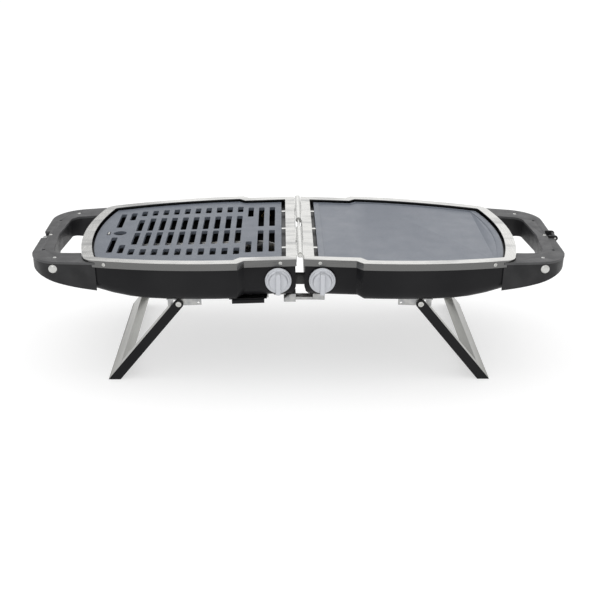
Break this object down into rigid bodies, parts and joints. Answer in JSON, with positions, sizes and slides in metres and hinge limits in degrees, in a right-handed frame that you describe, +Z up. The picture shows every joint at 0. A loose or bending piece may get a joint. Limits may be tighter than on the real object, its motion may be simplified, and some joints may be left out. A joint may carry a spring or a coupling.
{
  "type": "folding camp grill",
  "caption": "Table-top gas grill that folds in the middle: slotted grate and flat griddle over black tubs with steel rims, end handles, front knobs and folding U-shaped legs.",
  "frame": {"origin": "on the table under the middle of the opened grill, below the fold hinge", "axes": "+X along the grill towards the griddle half, -Y towards the knobs and the user, +Z up"},
  "size_m": [0.9232, 0.415, 0.2275],
  "materials": {
    "black_enamel": "satin",
    "stainless": "brushed",
    "grate_coating": "satin",
    "griddle_coating": "satin",
    "black_plastic": "matte",
    "grey_plastic": "matte",
    "leg_steel": "satin",
    "zinc_steel": "satin",
    "knob_silver": "gloss",
    "brass": "satin",
    "rubber": "matte"
  },
  "bodies": {
    "left_half": {"left_tub": "black_enamel", "left_rim": "stainless", "left_handle": "black_plastic", "left_handle_cover": "grey_plastic", "left_handle_caps": "stainless", "left_handle_screws": "stainless", "left_rim_screws": "stainless", "left_hinge_leaf": "stainless", "hinge_pin": "stainless", "left_leg_brackets": "zinc_steel", "left_leg_screws": "zinc_steel", "left_valve": "brass", "left_burner": "stainless", "left_burner_cradles": "zinc_steel", "crossover_hose": "rubber", "gas_inlet": "brass", "supply_pipe": "brass", "left_plate_clips": "stainless", "grate_clip": "stainless", "tray_rails": "zinc_steel", "lock_guide": "zinc_steel", "latch_catch": "zinc_steel"},
    "right_half": {"right_tub": "black_enamel", "right_rim": "stainless", "right_handle": "black_plastic", "right_handle_cover": "grey_plastic", "right_handle_caps": "stainless", "right_handle_screws": "stainless", "right_rim_screws": "stainless", "right_hinge_leaf": "stainless", "right_leg_brackets": "zinc_steel", "right_leg_screws": "zinc_steel", "right_valve": "brass", "right_burner": "stainless", "right_burner_cradles": "zinc_steel", "right_plate_clips": "stainless", "lock_keeper": "zinc_steel", "latch_bracket": "black_plastic", "latch_pin": "zinc_steel"},
    "left_leg": {"left_leg_struts": "leg_steel", "left_leg_crossbar": "leg_steel", "left_leg_covers": "black_enamel"},
    "right_leg": {"right_leg_struts": "leg_steel", "right_leg_crossbar": "leg_steel", "right_leg_covers": "black_enamel"},
    "left_knob_set": {"left_knob": "knob_silver", "left_stem": "brass"},
    "right_knob_set": {"right_knob": "knob_silver", "right_stem": "brass"},
    "grate": {"cooking_grate": "grate_coating"},
    "griddle": {"griddle_plate": "griddle_coating"},
    "tray": {"drip_tray": "black_enamel"},
    "lock": {"lock_bar": "zinc_steel"},
    "latch_arm": {"latch": "black_plastic"}
  },
  "joints": [
    {"name": "fold", "type": "hinge", "parent": "left_half", "child": "right_half", "pos_m": [0, 0, 0.2225], "axis": [0, -1, 0], "range_deg": [0, 183.7], "deforming": ["crossover_hose"]},
    {"name": "left_leg_fold", "type": "hinge", "parent": "left_half", "child": "left_leg", "pos_m": [-0.20289, 0, 0.13851], "axis": [0, -1, 0], "range_deg": [0, 119]},
    {"name": "right_leg_fold", "type": "hinge", "parent": "right_half", "child": "right_leg", "pos_m": [0.20289, 0, 0.13851], "axis": [0, 1, 0], "range_deg": [0, 119]},
    {"name": "left_knob_turn", "type": "hinge", "parent": "left_half", "child": "left_knob_set", "pos_m": [-0.0363, -0.186, 0.18481], "axis": [0, 1, 0], "range_deg": [-90, 0]},
    {"name": "right_knob_turn", "type": "hinge", "parent": "right_half", "child": "right_knob_set", "pos_m": [0.0363, -0.186, 0.18481], "axis": [0, 1, 0], "range_deg": [-90, 0]},
    {"name": "grate_lift", "type": "slide", "parent": "left_half", "child": "grate", "axis": [0.0323, 0, -0.9995], "range_m": [-0.06, 0]},
    {"name": "griddle_lift", "type": "slide", "parent": "right_half", "child": "griddle", "axis": [-0.0323, 0, -0.9995], "range_m": [-0.06, 0]},
    {"name": "tray_slide", "type": "slide", "parent": "left_half", "child": "tray", "axis": [0, -1, 0], "range_m": [0, 0.09]},
    {"name": "lock_slide", "type": "slide", "parent": "left_half", "child": "lock", "axis": [1, 0, 0], "range_m": [-0.03, 0]},
    {"name": "latch_swing", "type": "hinge", "parent": "right_half", "child": "latch_arm", "pos_m": [0.45957, 0, 0.20165], "axis": [0, -1, 0], "range_deg": [0, 180]}
  ]
}
